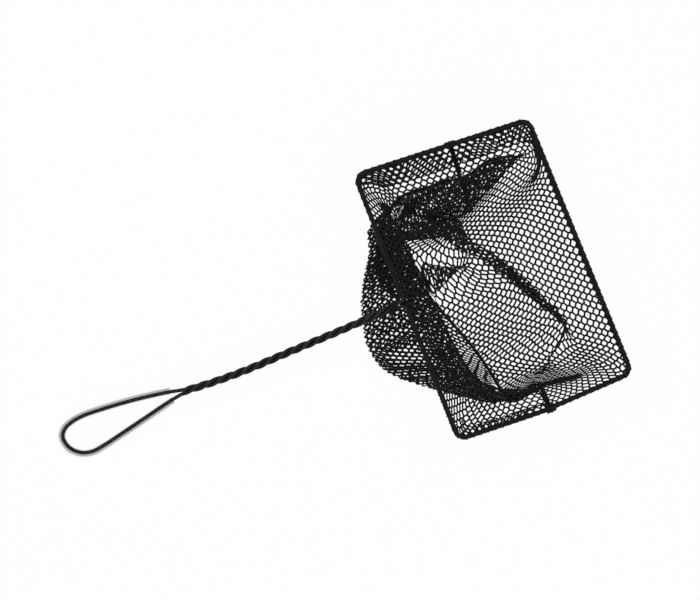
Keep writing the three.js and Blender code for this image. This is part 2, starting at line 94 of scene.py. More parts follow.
# Folds of the bag seen square to the hoop, from the upper seam round to the lower one: shares of
# the half width and the half length, and heights in millimetres above the surface.
NEAR_FOLD = (
    (0.02, 0.51, 11), (-0.31, 0.57, 11), (-0.67, 0.73, 11), (-0.84, 0.72, 12), (-0.78, 0.58, 13),
    (-0.75, 0.4, 13), (-0.73, 0.2, 12), (-0.7, -0.01, 11), (-0.67, -0.2, 11),
    (-0.64, -0.38, 11), (-0.6, -0.53, 11), (-0.53, -0.66, 11), (-0.33, -0.78, 11),
    (0.06, -0.88, 11),
)
BULGE = (
    (0.02, 0.64, 6), (-0.3, 0.69, 6), (-0.65, 0.75, 6), (-1.07, 0.65, 5), (-1.18, 0.48, 5),
    (-1.3, 0.35, 4.5), (-1.41, 0.22, 4), (-1.51, 0.02, 3), (-1.55, -0.18, 2.5),
    (-1.46, -0.37, 2.5), (-1.2, -0.53, 3), (-0.83, -0.7, 4), (-0.43, -0.86, 5), (0.06, -0.87, 5),
)
TUCK_IN = (
    (0.02, 0.69, 4.5), (-0.29, 0.72, 4.5), (-0.6, 0.76, 4.5), (-0.86, 0.68, 4.5),
    (-0.8, 0.52, 4.5), (-0.78, 0.36, 4.5), (-0.78, 0.2, 3.5), (-0.9, 0, 1), (-0.98, -0.2, 1),
    (-0.88, -0.38, 1), (-0.76, -0.55, 1), (-0.6, -0.74, 2), (-0.35, -0.87, 3), (0.06, -0.86, 3),
)
TUCK_OUT = (
    (0.02, 0.73, 2.6), (-0.28, 0.75, 2.6), (-0.59, 0.77, 2.6), (-1, 0.62, 2.4), (-1.12, 0.47, 2.4),
    (-1.2, 0.34, 2.4), (-1.16, 0.2, 2), (-1, 0, 0.9), (-0.84, -0.21, 0.9), (-0.73, -0.4, 0.9),
    (-0.62, -0.58, 0.9), (-0.51, -0.77, 1.2), (-0.3, -0.88, 2), (0.06, -0.86, 2),
)
BOTTOM_SEAM = tuple((x, y, 1.1) for x, y in (
    (0.02, 0.79), (-0.26, 0.78), (-0.64, 0.78), (-0.84, 0.66), (-0.79, 0.48), (-0.77, 0.3),
    (-0.74, 0.08), (-0.64, -0.11), (-0.52, -0.31), (-0.43, -0.48), (-0.36, -0.66), (-0.3, -0.82),
    (-0.14, -0.87), (0.06, -0.85),
))
FAR_FOLD = (
    (0.08, 0.53, 11), (0.42, 0.655, 14), (0.79, 0.77, 27), (0.87, 0.64, 37), (0.68, 0.5, 34),
    (0.49, 0.34, 31), (0.47, 0.11, 29), (0.57, -0.14, 31), (0.69, -0.38, 34), (0.74, -0.62, 36),
    (0.72, -0.78, 35), (0.65, -0.89, 34), (0.37, -0.91, 25), (0.12, -0.88, 11),
)
FAR_LANDING = (
    (0.08, 0.64, 5), (0.4, 0.8, 4), (0.63, 0.78, 6), (0.47, 0.63, 14), (0.09, 0.46, 11),
    (0.16, 0.31, 15), (0.23, 0.11, 16), (0.37, -0.12, 19), (0.51, -0.37, 24), (0.6, -0.6, 29),
    (0.51, -0.75, 24), (0.42, -0.85, 14), (0.26, -0.86, 8), (0.12, -0.87, 5),
)
PLEAT_LOWER = (
    (0.08, 0.7, 3), (0.02, 0.76, 3), (-0.77, 0.53, 4), (-0.62, 0.45, 4.5), (-0.38, 0.4, 5),
    (-0.24, 0.29, 6.5), (0.02, 0.08, 9), (0.21, -0.12, 12.5), (0.4, -0.32, 18),
    (0.57, -0.51, 26.5), (0.3, -0.71, 16), (0.19, -0.78, 7), (0.14, -0.84, 4), (0.1, -0.87, 3),
)
PLEAT_UPPER = (
    (0.08, 0.73, 2), (0, 0.77, 2), (-0.62, 0.73, 2.4), (-0.36, 0.62, 3), (-0.12, 0.51, 4.5),
    (-0.08, 0.33, 7.5), (0.17, 0.11, 10.5), (0.35, -0.08, 13.5), (0.49, -0.29, 19),
    (0.59, -0.5, 27), (0.26, -0.71, 14), (0.14, -0.78, 5.5), (0.09, -0.85, 3), (0.08, -0.87, 2.4),
)

# How far a panel's last row lies beside the bottom seam, how far its rim hangs below the wire's
# middle, and how low a fold may lie above the surface.
SEAM_SPREAD = 0.5
RIM_DROP = 1.6
LOWEST = 0.8

# The pleat folds back once more under itself: at which of its places, and over what share of the
# way from its upper row to its lower one. Each fold takes a part of that share, at a share of the
# pleat's height. The row after them lies a share of the way to the seam, at half the height.
BUNCH_AT = (0, 5.8, 6.8, 10, 10.8, 13)
BUNCH_WIDTH = (0.04, 0.04, 0.85, 0.85, 0.04, 0.04)
BUNCH_FOLDS = ((1, 0.8), (1 / 6, 0.65))
BUNCH_END = (0.2, 0.5)

# The netting's turned-in edges: how far each reaches along its panel from a seam and how wide it
# is at both ends, where they start to narrow, how far they lie above the panel, and how far their
# meshes are turned.
FAR_TURN_IN = (0.27, 22, 9)
NEAR_TURN_IN = (0.23, 22, 9)
LOWER_TURN_IN = (0.21, 9, 16)
TURN_IN_FULL = 0.18
TURN_IN_LIFT = 1.6
TURN_IN_SLANT = math.radians(5)

# A pleat of the far panel that runs in from the bottom seam: its place along the rim, its width,
# how far it folds over, the stretch over which it fades, how far it stands up, and the height
# below which the netting takes part in it.
CREASE_AT = 0.437
CREASE_WIDTH = 0.03
CREASE_FOLD = 27
CREASE_REACH = (-0.76, -0.62, -0.08)
CREASE_LIFT = 1.6
CREASE_BELOW = 15

# A mesh: half the height of its sides and half its whole height, as shares of its depth, and the
# share that its yarn may close. Then how far meshes stray, and the random line's reach and steps.
MESH_SIDE = 0.107
MESH_POINT = 0.393
MESH_CLOSED = 0.93
MESH_WANDER = 0.4
WANDER_REACH = 1800
WANDER_STEP = 5.0

# Where the side seams cross the folds and end, and the bunched edges beside them.
UPPER_SEAM_ROUTE = ((0.05, 0.52, 11.5), (0.05, 0.66, 6), (0.05, 0.79, 4.6))
LOWER_SEAM_ROUTE = ((0.1, -0.88, 11.5), (0.1, -0.86, 7), (0.1, -0.84, 4.6))
GATHERED_EDGE = (
    (0.04, 0.52, 13), (-0.07, 0.505, 14.5), (-0.21, 0.515, 15), (-0.36, 0.585, 15),
    (-0.535, 0.675, 14.5), (-0.67, 0.73, 14), (-0.84, 0.725, 13.5),
)
LOWER_EDGE = ((0.1, -0.87, 10), (-0.07, -0.885, 8), (-0.2, -0.9, 5), (-0.3, -0.88, 2.2))

# How far below the wire the upper and the lower side seam start.
SEAM_STARTS = (5.4, 6.6)

# Room that the hem leaves along the hoop for half a knot, and for the handle.
KNOT_ROOM = 4.8
HANDLE_ROOM = 6.3

# The yarn wound round the knots and the lashing and their lengths, and the stitches of the seams.
WINDING = 0.9
KNOT_LENGTH = 9
LASHING_LENGTH = 8
STITCH_PITCH = 5.2
STITCH_RADIUS = 0.42

# Points on a strand, the loop and a seam, lines across a panel, and steps along a line and a row.
STRAND_POINTS = 260
LOOP_POINTS = 280
SEAM_POINTS = 160
PANEL_LINES = 200
FOLD_STEPS = 14
ROW_STEPS = 24

# The photograph's frame seen square to the hoop: its middle in the hoop's own plane, its width
# there, and the turn of its upper edge. Then the camera's lens and sensor.
VIEW_MIDDLE = (-133.3, 26.2)
VIEW_WIDTH = 653.8
VIEW_TURN = math.radians(-20)
LENS = 120
SENSOR = 36

# Area lamps, each with its place, size and power, how far the floor reaches, how white it is to
# the camera, and how strongly the world lights the net.
LAMPS = (
    ("key", (-0.7, 0.9, 1.9), 1.6, 19), ("fill", (1.3, -0.4, 1.7), 1.8, 11),
    ("back", (0.1, -1.7, 1.4), 1.6, 8),
)
FLOOR_REACH = 4000
FLOOR_WHITE = 0.97
WORLD_LIGHT = 0.3


def length_property(name, description, millimetres):
    """A size that the sidebar shows in the scene's units."""
    return bpy.props.FloatProperty(
        name=name, description=description, default=millimetres * MM, min=0, precision=5,
        unit="LENGTH", subtype="DISTANCE",
    )


def colour_property(name, description, *colour):
    """A colour that the sidebar shows as a swatch."""
    return bpy.props.FloatVectorProperty(
        name=name, description=description, default=colour, min=0, max=1, size=3,
        subtype="COLOR",
    )


class WireSizes(bpy.types.PropertyGroup):
    """Sizes and colours of the coated wire and of the sleeve on its loop."""

    hoop_width: length_property("Hoop width", "Across the hoop, between wire middles", 172)
    hoop_length: length_property("Hoop length", "Along the hoop, between wire middles", 260)
    coat_diameter: length_property("Coat diameter", "Outside diameter of the coated wire", 3.5)
    core_diameter: length_property("Core diameter", "Diameter of the steel inside the coat", 2.2)
    handle_length: length_property("Handle length", "Length of the twist", 216)
    handle_sag: length_property("Handle sag", "How far the twist bows to one side", 8.3)
    twist_pitch: length_property("Twist pitch", "Length of one turn of the twist", 37)
    loop_length: length_property("Loop length", "Length of the hanging loop", 119)
    loop_spread: length_property("Loop spread", "Width scale of the hanging loop", 34.2)
    sleeve_diameter: length_property("Sleeve diameter", "Outside diameter of the sleeve", 6.7)
    sleeve_wall: length_property("Sleeve wall", "Wall of the sleeve", 0.8)
    coat_colour: colour_property("Coat colour", "Colour of the wire's coat", 0.004, 0.004, 0.0045)
    core_colour: colour_property("Core colour", "Colour of the bare steel", 0.5, 0.5, 0.51)
    sleeve_colour: colour_property("Sleeve colour", "Tint of the sleeve", 0.24, 0.24, 0.25)


class BagSizes(bpy.types.PropertyGroup):
    """Sizes and colours of the netting, its hems, seams and ties."""

    mesh_width: length_property("Mesh width", "One mesh, measured along the hoop", 7.1)
    mesh_depth: length_property("Mesh depth", "One mesh, measured down the bag", 9.4)
    yarn_width: length_property("Yarn width", "Width of the netting's strands", 2)
    hem_diameter: length_property("Hem diameter", "Outside diameter of the rolled hem", 5)
    seam_diameter: length_property("Seam diameter", "Diameter of the gathered seams", 2.2)
    lacing_diameter: length_property("Lacing diameter", "Diameter of the lacing yarn", 0.9)
    netting_colour: colour_property("Netting colour", "Colour of the netting", 0.006, 0.006, 0.0065)
    yarn_colour: colour_property("Yarn colour", "Colour of hems and seams", 0.004, 0.004, 0.0045)


def in_mm(size):
    """A property's metres as millimetres."""
    return size / MM


def hoop_half():
    """Half the hoop's width and half its length."""
    sizes = bpy.context.scene.wire_sizes
    return in_mm(sizes.hoop_width) / 2, in_mm(sizes.hoop_length) / 2


def lengths_along(route):
    """The length from a route's start to each of its points."""
    return np.concatenate([[0], np.cumsum(np.linalg.norm(np.diff(route, axis=0), axis=1))])


def headings(route):
    """Unit vectors along a route."""
    along = np.gradient(route, axis=0)
    return along / np.linalg.norm(along, axis=1)[:, None]


def left_of(along):
    """Level vectors to the left of others."""
    return np.column_stack([-along[:, 1], along[:, 0], 0 * along[:, 0]])


# Routes, in millimetres in the hoop's own frame.


def outline_segments():
    """Straight sides of the hoop and the arcs after them, clockwise from above."""
    half = hoop_half()
    corners = [Vector((x * half[0], y * half[1])) for x, y, _ in HOOP_CORNERS]
    radii = [radius for _, _, radius in HOOP_CORNERS]
    count = len(corners)
    side = [corners[(i + 1) % count] - corners[i] for i in range(count)]
    heading = [math.atan2(s.y, s.x) for s in side]
    turn = [(heading[i - 1] - heading[i]) % (2 * math.pi) for i in range(count)]
    cut = [radii[i] * math.tan(turn[i] / 2) for i in range(count)]
    segments = []
    start = 0
    for i in range(count):
        after = (i + 1) % count
        begin = corners[i] + side[i].normalized() * cut[i]
        length = side[i].length - cut[i] - cut[after]
        arc = radii[after] * turn[after]
        segments.append((start, begin, heading[i], length, arc, radii[after]))
        start += length + arc
    return segments, start


def outline_points(lengths):
    """Places on the hoop's outline at lengths along it."""
    segments, total = outline_segments()
    starts = np.array([segment[0] for segment in segments])
    places = np.zeros((len(lengths), 3))
    for k, length in enumerate(np.mod(lengths, total)):
        segment = segments[np.searchsorted(starts, length, "right") - 1]
        start, begin, heading, straight, _, radius = segment
        run = min(length - start, straight)
        turn = (length - start - run) / radius
        along = run + radius * math.sin(turn)
        inward = radius * (1 - math.cos(turn))
        places[k, 0] = begin.x + math.cos(heading) * along + math.sin(heading) * inward
        places[k, 1] = begin.y + math.sin(heading) * along - math.cos(heading) * inward
    return places


def outline_marks():
    """Lengths along the outline of the upper seam, the lower seam and the handle, and its total."""
    segments, total = outline_segments()
    upper, _, lower, _, near = segments
    upper_mark = upper[0] + (UPPER_SEAM_X - upper[1].x) / math.cos(upper[2])
    lower_mark = lower[0] + (LOWER_SEAM_X - lower[1].x) / math.cos(lower[2])
    handle_mark = near[0] + (HANDLE_OFFSET - near[1].y) / math.sin(near[2])
    return upper_mark, lower_mark, handle_mark, total


def eased(steps):
    """Shares up to 1 in a number of steps, the short ones at both ends."""
    return (1 - np.cos(np.pi * np.arange(1, steps + 1) / steps)) / 2


def smooth_curve(points, steps, power=0.0):
    """A Catmull-Rom curve through points, with a number of steps on each leg."""
    points = np.asarray(points, float)
    ring = np.vstack([2 * points[0] - points[1], points, 2 * points[-1] - points[-2]])
    gaps = np.maximum(np.linalg.norm(np.diff(ring, axis=0), axis=1), 1e-6) ** power
    shares = eased(steps) if power else np.arange(1, steps + 1) / steps
    line = [points[0]]
    for leg in range(len(points) - 1):
        p = ring[leg:leg + 4]
        k = np.concatenate([[0], np.cumsum(gaps[leg:leg + 3])])
        t = (k[1] + shares * (k[2] - k[1]))[:, None]
        a = [((k[i + 1] - t) * p[i] + (t - k[i]) * p[i + 1]) / (k[i + 1] - k[i]) for i in range(3)]
        b = [((k[i + 2] - t) * a[i] + (t - k[i]) * a[i + 1]) / (k[i + 2] - k[i]) for i in range(2)]
        line.extend(((k[2] - t) * b[0] + (t - k[1]) * b[1]) / (k[2] - k[1]))
    return np.array(line)


def even_steps(line, count):
    """The same line with a number of evenly spaced points."""
    lengths = lengths_along(line)
    wanted = np.linspace(0, lengths[-1], count)
    return np.column_stack([np.interp(wanted, lengths, line[:, k]) for k in range(3)])


def twist_measures():
    """Radius and turns of the twist, where the hoop's tails end, the gap, and where it starts."""
    sizes = bpy.context.scene.wire_sizes
    coat = in_mm(sizes.coat_diameter)
    handle = in_mm(sizes.handle_length)
    turns = round(handle / in_mm(sizes.twist_pitch) - PART_TURN) + PART_TURN
    touching = (coat + STRAND_GAP) / math.sqrt(3)
    angle = math.atan(2 * math.pi * touching * turns / handle)
    radius = touching / math.cos(angle / 2)
    gap = STRAND_GAP + coat * math.tan(angle)
    tail = -hoop_half()[0] - HOOP_TAIL
    return radius, turns, tail, gap, tail - gap


def strand_route(start_degrees):
    """One strand of the twist, from the hoop to the loop."""
    sizes = bpy.context.scene.wire_sizes
    radius, turns, _, _, start_x = twist_measures()
    bow = [
        (start_x - along * in_mm(sizes.handle_length),
         HANDLE_OFFSET - aside * in_mm(sizes.handle_sag), -radius / 2)
        for along, aside in HANDLE_BOW
    ]
    middle = even_steps(smooth_curve(bow, 60), STRAND_POINTS)
    turned = np.linspace(0, 1, STRAND_POINTS) * turns * 2 * math.pi
    angle = math.radians(start_degrees) + turned
    middle -= left_of(headings(middle)) * (radius * np.cos(angle))[:, None]
    middle[:, 2] += radius * np.sin(angle)
    return middle


def loop_route(strand_a, strand_c):
    """The hanging loop, from the end of one strand to the end of another."""
    sizes = bpy.context.scene.wire_sizes
    radius, _, _, gap, start_x = twist_measures()
    end_x = start_x - in_mm(sizes.handle_length)
    end_y = HANDLE_OFFSET - in_mm(sizes.handle_sag) * HANDLE_BOW[-1][1]
    first = (end_x - gap, *strand_a[-1][1:])
    last = (end_x - gap, *strand_c[-1][1:])
    length, spread = in_mm(sizes.loop_length), in_mm(sizes.loop_spread)
    middle = [(end_x - along * length, end_y + aside * spread, -radius)
              for along, aside in LOOP_ROUTE]
    return even_steps(smooth_curve([first, *middle, last], 24, 0.5), LOOP_POINTS)


def hoop_route():
    """The hoop from one tail at the handle, clockwise, to the other."""
    radius, _, tail_x, _, _ = twist_measures()
    _, _, handle_mark, total = outline_marks()
    spread = radius * math.cos(math.pi / 6)
    bend_x = -hoop_half()[0] - HOOP_BEND
    turns = np.linspace(0, np.pi / 2, 9)[:-1]
    bend_y = spread + HOOP_BEND * (1 - np.cos(turns))
    tail = np.column_stack([bend_x + HOOP_BEND * np.sin(turns), bend_y, 0 * turns])
    tail = np.vstack([[tail_x, spread, 0], tail])
    reach = spread + HOOP_BEND
    lengths = np.arange(handle_mark - total + reach, handle_mark - reach, HOOP_STEP)
    lower = tail[::-1] * (1, -1, 1)
    shift = (0, HANDLE_OFFSET, 0)
    return np.vstack([tail + shift, outline_points(lengths), lower + shift])


# Meshes.


def route_frames(route, radii, tangents=None):
    """A matrix for each ring of a tube along a route, without twist."""
    if tangents is None:
        tangents = np.gradient(route, axis=0)
    tangents = [Vector(t).normalized() for t in tangents]
    radii = np.broadcast_to(radii, len(route))
    turn = Vector((0, 0, 1)).rotation_difference(tangents[0])
    frames = []
    for k, (point, tangent) in enumerate(zip(route, tangents)):
        if k:
            turn = tangents[k - 1].rotation_difference(tangent) @ turn
        frames.append(Matrix.LocRotScale(Vector(point), turn, Vector((radii[k], radii[k], 1))))
    return frames


def sweep(bm, frames, sides, capped=True):
    """A tube: a grid rolled round a route's frames. Returns its first and last ring of edges."""
    last = len(frames) - 1
    verts = bmesh.ops.create_grid(bm, x_segments=last, y_segments=sides, size=1)["verts"]
    ends = ([], [])
    for vert in verts:
        ring = round((vert.co.x + 1) / 2 * last)
        angle = math.pi * (vert.co.y + 1)
        vert.co = frames[ring] @ Vector((math.cos(angle), math.sin(angle), 0))
        if ring in (0, last):
            ends[ring == last].append(vert)
    bmesh.ops.remove_doubles(bm, verts=verts, dist=1e-4)
    rims = [
        list({edge for vert in end if vert.is_valid
              for edge in vert.link_edges if edge.is_boundary})
        for end in ends
    ]
    if capped:
        for rim in rims:
            bmesh.ops.edgenet_fill(bm, edges=rim)
    return rims


def linked(name, data):
    """A new object, linked to the scene."""
    made = bpy.data.objects.new(name, data)
    bpy.context.scene.collection.objects.link(made)
    return made


def finished(name, bm, material, matrix=Matrix.Identity(4)):
    """An object at the origin from a bmesh in millimetres."""
    bmesh.ops.recalc_face_normals(bm, faces=bm.faces)
    bmesh.ops.transform(bm, matrix=Matrix.Scale(MM, 4) @ matrix, verts=bm.verts)
    mesh = bpy.data.meshes.new(name)
    bm.to_mesh(mesh)
    bm.free()
    mesh.materials.append(material)
    mesh.shade_smooth()
    return linked(name, mesh)


def stands_for(piece, slot, *nodes):
    """Ties a piece to the frame and hides the solids that it stands for. The slot is not used."""
    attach(piece, "root")
    if nodes:
        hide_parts(*nodes)


# Materials.


def new_material(name, base, roughness):
    """A material, its node tree and its shader."""
    material = bpy.data.materials.new(name)
    material.use_nodes = True
    nodes = material.node_tree.nodes
    shader = nodes["Principled BSDF"]
    shader.inputs["Base Color"].default_value = (*base, 1)
    shader.inputs["Roughness"].default_value = roughness
    return material, material.node_tree, shader


def node(tree, kind, **settings):
    """A node with its properties and input values set."""
    made = tree.nodes.new(kind)
    for key, value in settings.items():
        if key in made.inputs:
            made.inputs[key].default_value = value
        else:
            setattr(made, key, value)
    return made


def noise(tree, scale, detail):
    """Noise on object coordinates."""
    made = node(tree, "ShaderNodeTexNoise", Scale=scale, Detail=detail)
    places = node(tree, "ShaderNodeTexCoord").outputs["Object"]
    tree.links.new(places, made.inputs["Vector"])
    return made.outputs["Fac"]


def ramp(tree, source, low, high):
    """A map of a 0 to 1 value onto a range."""
    made = node(tree, "ShaderNodeMapRange")
    made.inputs["To Min"].default_value = low
    made.inputs["To Max"].default_value = high
    tree.links.new(source, made.inputs["Value"])
    return made.outputs["Result"]


def varied(tree, shader, base, source, shades, roughness):
    """A shader's colour, between two shades of a base, and its roughness, by a 0 to 1 value."""
    mix = node(tree, "ShaderNodeMix", data_type="RGBA")
    for socket, shade in zip(mix.inputs[6:8], shades):
        socket.default_value = (*(min(1, channel * shade) for channel in base), 1)
    tree.links.new(source, mix.inputs["Factor"])
    tree.links.new(mix.outputs[2], shader.inputs["Base Color"])
    tree.links.new(ramp(tree, source, *roughness), shader.inputs["Roughness"])


def mixed_surface(tree, share, first, second):
    """The surface of a material as a mix of two shaders."""
    mix = node(tree, "ShaderNodeMixShader")
    for source, socket in zip((share, first.outputs[0], second.outputs[0]), mix.inputs):
        tree.links.new(source, socket)
    tree.links.new(mix.outputs[0], tree.nodes["Material Output"].inputs["Surface"])


def bumped(tree, shader, height, strength, distance):
    """A bump from a height into the shader's normal."""
    made = node(tree, "ShaderNodeBump", Strength=strength, Distance=distance)
    tree.links.new(height, made.inputs["Height"])
    tree.links.new(made.outputs["Normal"], shader.inputs["Normal"])


def background_seen(tree):
    """1 for rays from the camera and from glossy and clear surfaces, and otherwise 0."""
    path = node(tree, "ShaderNodeLightPath")
    seen = path.outputs["Is Camera Ray"]
    for kind in ("Is Glossy Ray", "Is Transmission Ray"):
        either = node(tree, "ShaderNodeMath", operation="MAXIMUM")
        tree.links.new(seen, either.inputs[0])
        tree.links.new(path.outputs[kind], either.inputs[1])
        seen = either.outputs[0]
    return seen


def coat_material(base):
    """Glossy black vinyl drawn over the wire, with rub marks."""
    material, tree, shader = new_material("vinyl_coat", base, 0.3)
    varied(tree, shader, base, noise(tree, 220, 5), (0.6, 2.6), (0.24, 0.46))
    shader.inputs["Specular IOR Level"].default_value = 0.14
    bumped(tree, shader, noise(tree, 900, 4), 0.12, 0.0002)
    return material


def core_material(base):
    """Bright steel wire, cut square."""
    material, tree, shader = new_material("steel_core", base, 0.35)
    shader.inputs["Metallic"].default_value = 1
    varied(tree, shader, base, noise(tree, 1400, 5), (0.7, 1), (0.28, 0.5))
    return material


def sleeve_material(base):
    """Smoky clear soft plastic: most light goes straight through both walls."""
    material, tree, shader = new_material("smoky_sleeve", base, 0.16)
    haze = noise(tree, 160, 4)
    varied(tree, shader, base, haze, (0.85, 1.15), (0.1, 0.26))
    bumped(tree, shader, noise(tree, 500, 3), 0.1, 0.0003)
    clear = node(tree, "ShaderNodeBsdfTransparent", Color=(0.82, 0.82, 0.83, 1))
    mixed_surface(tree, ramp(tree, haze, 0.015, 0.045), clear, shader)
    return material


def yarn_material(name, base, scale, strength):
    """Knitted nylon yarn: matt, with a soft sheen and fine filaments."""
    material, tree, shader = new_material(name, base, 0.7)
    shader.inputs["Specular IOR Level"].default_value = 0.12
    shader.inputs["Sheen Weight"].default_value = 0.04
    shader.inputs["Sheen Roughness"].default_value = 0.4
    varied(tree, shader, base, noise(tree, scale, 4), (0.6, 2.2), (0.55, 0.85))
    bumped(tree, shader, noise(tree, scale * 3, 3), strength, 0.0004)
    return material


# The bag.


def out_of_hoop(points):
    """Points of the hoop's own frame in the part's frame."""
    turn = np.array(HOOP_FRAME.to_3x3())
    return points @ turn.T + np.array(HOOP_CENTRE)


def seen_at(x, y, height):
    """A place seen square to the hoop, brought down to a height above the surface."""
    above = (height - HOOP_CENTRE.z - x * math.sin(TILT)) / math.cos(TILT)
    return (HOOP_CENTRE.x + x * math.cos(TILT) - above * math.sin(TILT), y, height)


def places_seen(places):
    """Places given as shares of the hoop's half sides and a height above the surface."""
    half_width, half_length = hoop_half()
    return [seen_at(x * half_width, y * half_length, height) for x, y, height in places]


def fold_row(places, aside=0.0, count=PANEL_LINES):
    """A smooth row of places on a fold, from beside the upper seam to beside the lower one."""
    line = smooth_curve(places_seen(places), ROW_STEPS)
    line[:, 2] = np.maximum(line[:, 2], LOWEST)
    marks = np.arange(len(line))
    wanted = np.linspace(0, len(line) - 1, count)
    row = np.column_stack([np.interp(wanted, marks, line[:, k]) for k in range(3)])
    return row + left_of(headings(row)) * aside


def folded_line(points):
    """A smooth line through fold points, straight up to each hairpin and back from it."""
    points = np.asarray(points, float)
    legs = np.diff(points, axis=0)
    sizes = np.linalg.norm(legs, axis=1)[:, None]
    units = legs / np.maximum(sizes, 1e-9)
    ways = np.vstack([units[:1], (units[:-1] + units[1:]) / 2, units[-1:]])
    t = eased(FOLD_STEPS)[:, None]
    line = [points[0]]
    for leg, size in enumerate(sizes):
        line.extend(
            (2 * t**3 - 3 * t**2 + 1) * points[leg] + (t**3 - 2 * t**2 + t) * ways[leg] * size
            + (3 * t**2 - 2 * t**3) * points[leg + 1] + (t**3 - t**2) * ways[leg + 1] * size
        )
    return np.array(line)


class Drape:
    """A hanging panel of netting: lines from the rim down to the bottom seam, side by side."""

    def __init__(self, start, end, rows):
        self.width = abs(end - start)
        rim = outline_points(np.linspace(start, end, PANEL_LINES))
        rim[:, 2] -= RIM_DROP
        self.lines = np.array([folded_line(points) for points in zip(out_of_hoop(rim), *rows)])
        self.measure()

    def measure(self):
        """Lengths along the lines, and the normals of the surface that they make."""
        self.lengths = np.array([lengths_along(line) for line in self.lines])
        normals = np.cross(np.gradient(self.lines, axis=0), np.gradient(self.lines, axis=1))
        size = np.linalg.norm(normals, axis=2, keepdims=True)
        self.normals = normals / np.maximum(size, 1e-9)

    def crease(self):
        """A pleat between neighbouring lines that folds the panel over itself, S-shaped."""
        marks = [HOOP_CENTRE.x + x * hoop_half()[0] for x in CREASE_REACH]
        share = (np.linspace(0, 1, len(self.lines)) - CREASE_AT) / CREASE_WIDTH
        swing = (share * np.exp((1 - share * share) / 2))[:, None]
        low = self.lines[:, :, 2] < CREASE_BELOW
        fade = np.interp(self.lines[:, :, 0], marks, (0, 1, 0)) * low
        self.lines[:, :, 1] += CREASE_FOLD * fade * swing
        self.lines[:, :, 2] += CREASE_LIFT * fade * (1 - np.tanh(share)[:, None])
        self.measure()

    def turned_in(self, reach, first, last, way=1):
        """The panel's own edge, turned in over the rim beside its first or its last seam."""
        count = round(reach * len(self.lines))
        edge = copy.copy(self)
        depths = np.interp(np.linspace(0, reach, count), (TURN_IN_FULL, reach), (first, last))
        edge.lines = np.array([
            [[np.interp(mark, lengths, line[:, k]) for k in range(3)]
             for mark in np.linspace(0, depth, 5)]
            for line, lengths, depth in zip(self.lines[::way], self.lengths[::way], depths)
        ])
        edge.lines[:, :, 2] += TURN_IN_LIFT
        edge.width = self.width * (count - 1) / (len(self.lines) - 1)
        edge.measure()
        return edge

    def depth_at(self, s):
        """How deep the panel is at places along the rim."""
        share = np.clip(s / self.width, 0, 1) * (len(self.lines) - 1)
        return np.interp(share, np.arange(len(self.lines)), self.lengths[:, -1])

    def place(self, s, t):
        """Places and normals on the hanging panel of flat places, along the rim and down."""
        count, steps = self.lengths.shape
        share = np.clip(s / self.width, 0, 1) * (count - 1)
        cell = np.minimum(share.astype(int), count - 2)
        places, normals = np.zeros((2, len(s), 3))
        marks = np.arange(steps)
        for k in np.unique(cell):
            at = np.nonzero(cell == k)[0]
            f = (share - cell)[at]
            first, second = self.lengths[k], self.lengths[k + 1]
            down = t[at] / ((1 - f) * first[-1] + f * second[-1])
            w = (1 - f) * np.interp(down * first[-1], first, marks)
            w += f * np.interp(down * second[-1], second, marks)
            i = np.minimum(w.astype(int), steps - 2)
            g = (w - i)[:, None]
            f = f[:, None]
            for grid, out in ((self.lines, places), (self.normals, normals)):
                a = (1 - g) * grid[k, i] + g * grid[k, i + 1]
                b = (1 - g) * grid[k + 1, i] + g * grid[k + 1, i + 1]
                out[at] = (1 - f) * a + f * b
        return places, normals


def between(first, second, share, height):
    """A row part of the way from one row to another, with its height scaled."""
    row = first + (second - first) * share
    row[:, 2] = np.maximum(first[:, 2] * height, LOWEST)
    return row


def bag_drapes():
    """The far and the near panel as they hang and lie."""
    sizes = bpy.context.scene.bag_sizes
    upper, lower, _, total = outline_marks()
    room = in_mm(sizes.seam_diameter) / 2
    near_rows = [fold_row(row) for row in (NEAR_FOLD, BULGE, TUCK_IN, TUCK_OUT)]
    near_rows.append(fold_row(BOTTOM_SEAM, -SEAM_SPREAD))
    far_rows = [fold_row(row) for row in (FAR_FOLD, FAR_LANDING, PLEAT_LOWER, PLEAT_UPPER)]
    pleat = far_rows[2:]
    marks = np.linspace(0, len(PLEAT_LOWER) - 1, PANEL_LINES)
    bunch = np.interp(marks, BUNCH_AT, BUNCH_WIDTH)[:, None]
    for part, height in BUNCH_FOLDS:
        far_rows.append(between(*pleat, 1 - bunch * part, height))
    far_end = fold_row(BOTTOM_SEAM, SEAM_SPREAD)
    far_rows += [between(pleat[0], far_end, *BUNCH_END), far_end]
    far = Drape(upper + room, lower - room, far_rows)
    far.crease()
    near = Drape(upper + total - room, lower + room, near_rows)
    return far, near


def doubled(bm, kind):
    """Doubles a mesh in place. Returns the new items of one kind, and each vertex's double."""
    made = bmesh.ops.duplicate(bm, geom=bm.verts[:] + bm.edges[:] + bm.faces[:])
    return [item for item in made["geom"] if isinstance(item, kind)], made["vert_map"]


def flat_meshes(width, depth, mesh_width, mesh_depth):
    """Flat netting of six-sided meshes, each a face, in offset columns."""
    bm = bmesh.new()
    bmesh.ops.create_circle(bm, cap_ends=True, radius=1, segments=6)
    for vert in bm.verts:
        height = MESH_SIDE if abs(vert.co.x) > 0.1 else MESH_POINT
        vert.co.x *= mesh_width / math.sqrt(3)
        vert.co.y = math.copysign(height, vert.co.y) * mesh_depth
    steps = [Vector((mesh_width / 2, mesh_depth / 2, 0))]
    for step, reach in ((Vector((mesh_width, 0, 0)), width), (Vector((0, mesh_depth, 0)), depth)):
        while step.length < reach:
            steps.append(step.copy())
            step *= 2
    for step in steps:
        bmesh.ops.translate(bm, vec=step, verts=doubled(bm, bmesh.types.BMVert)[0])
    return bm


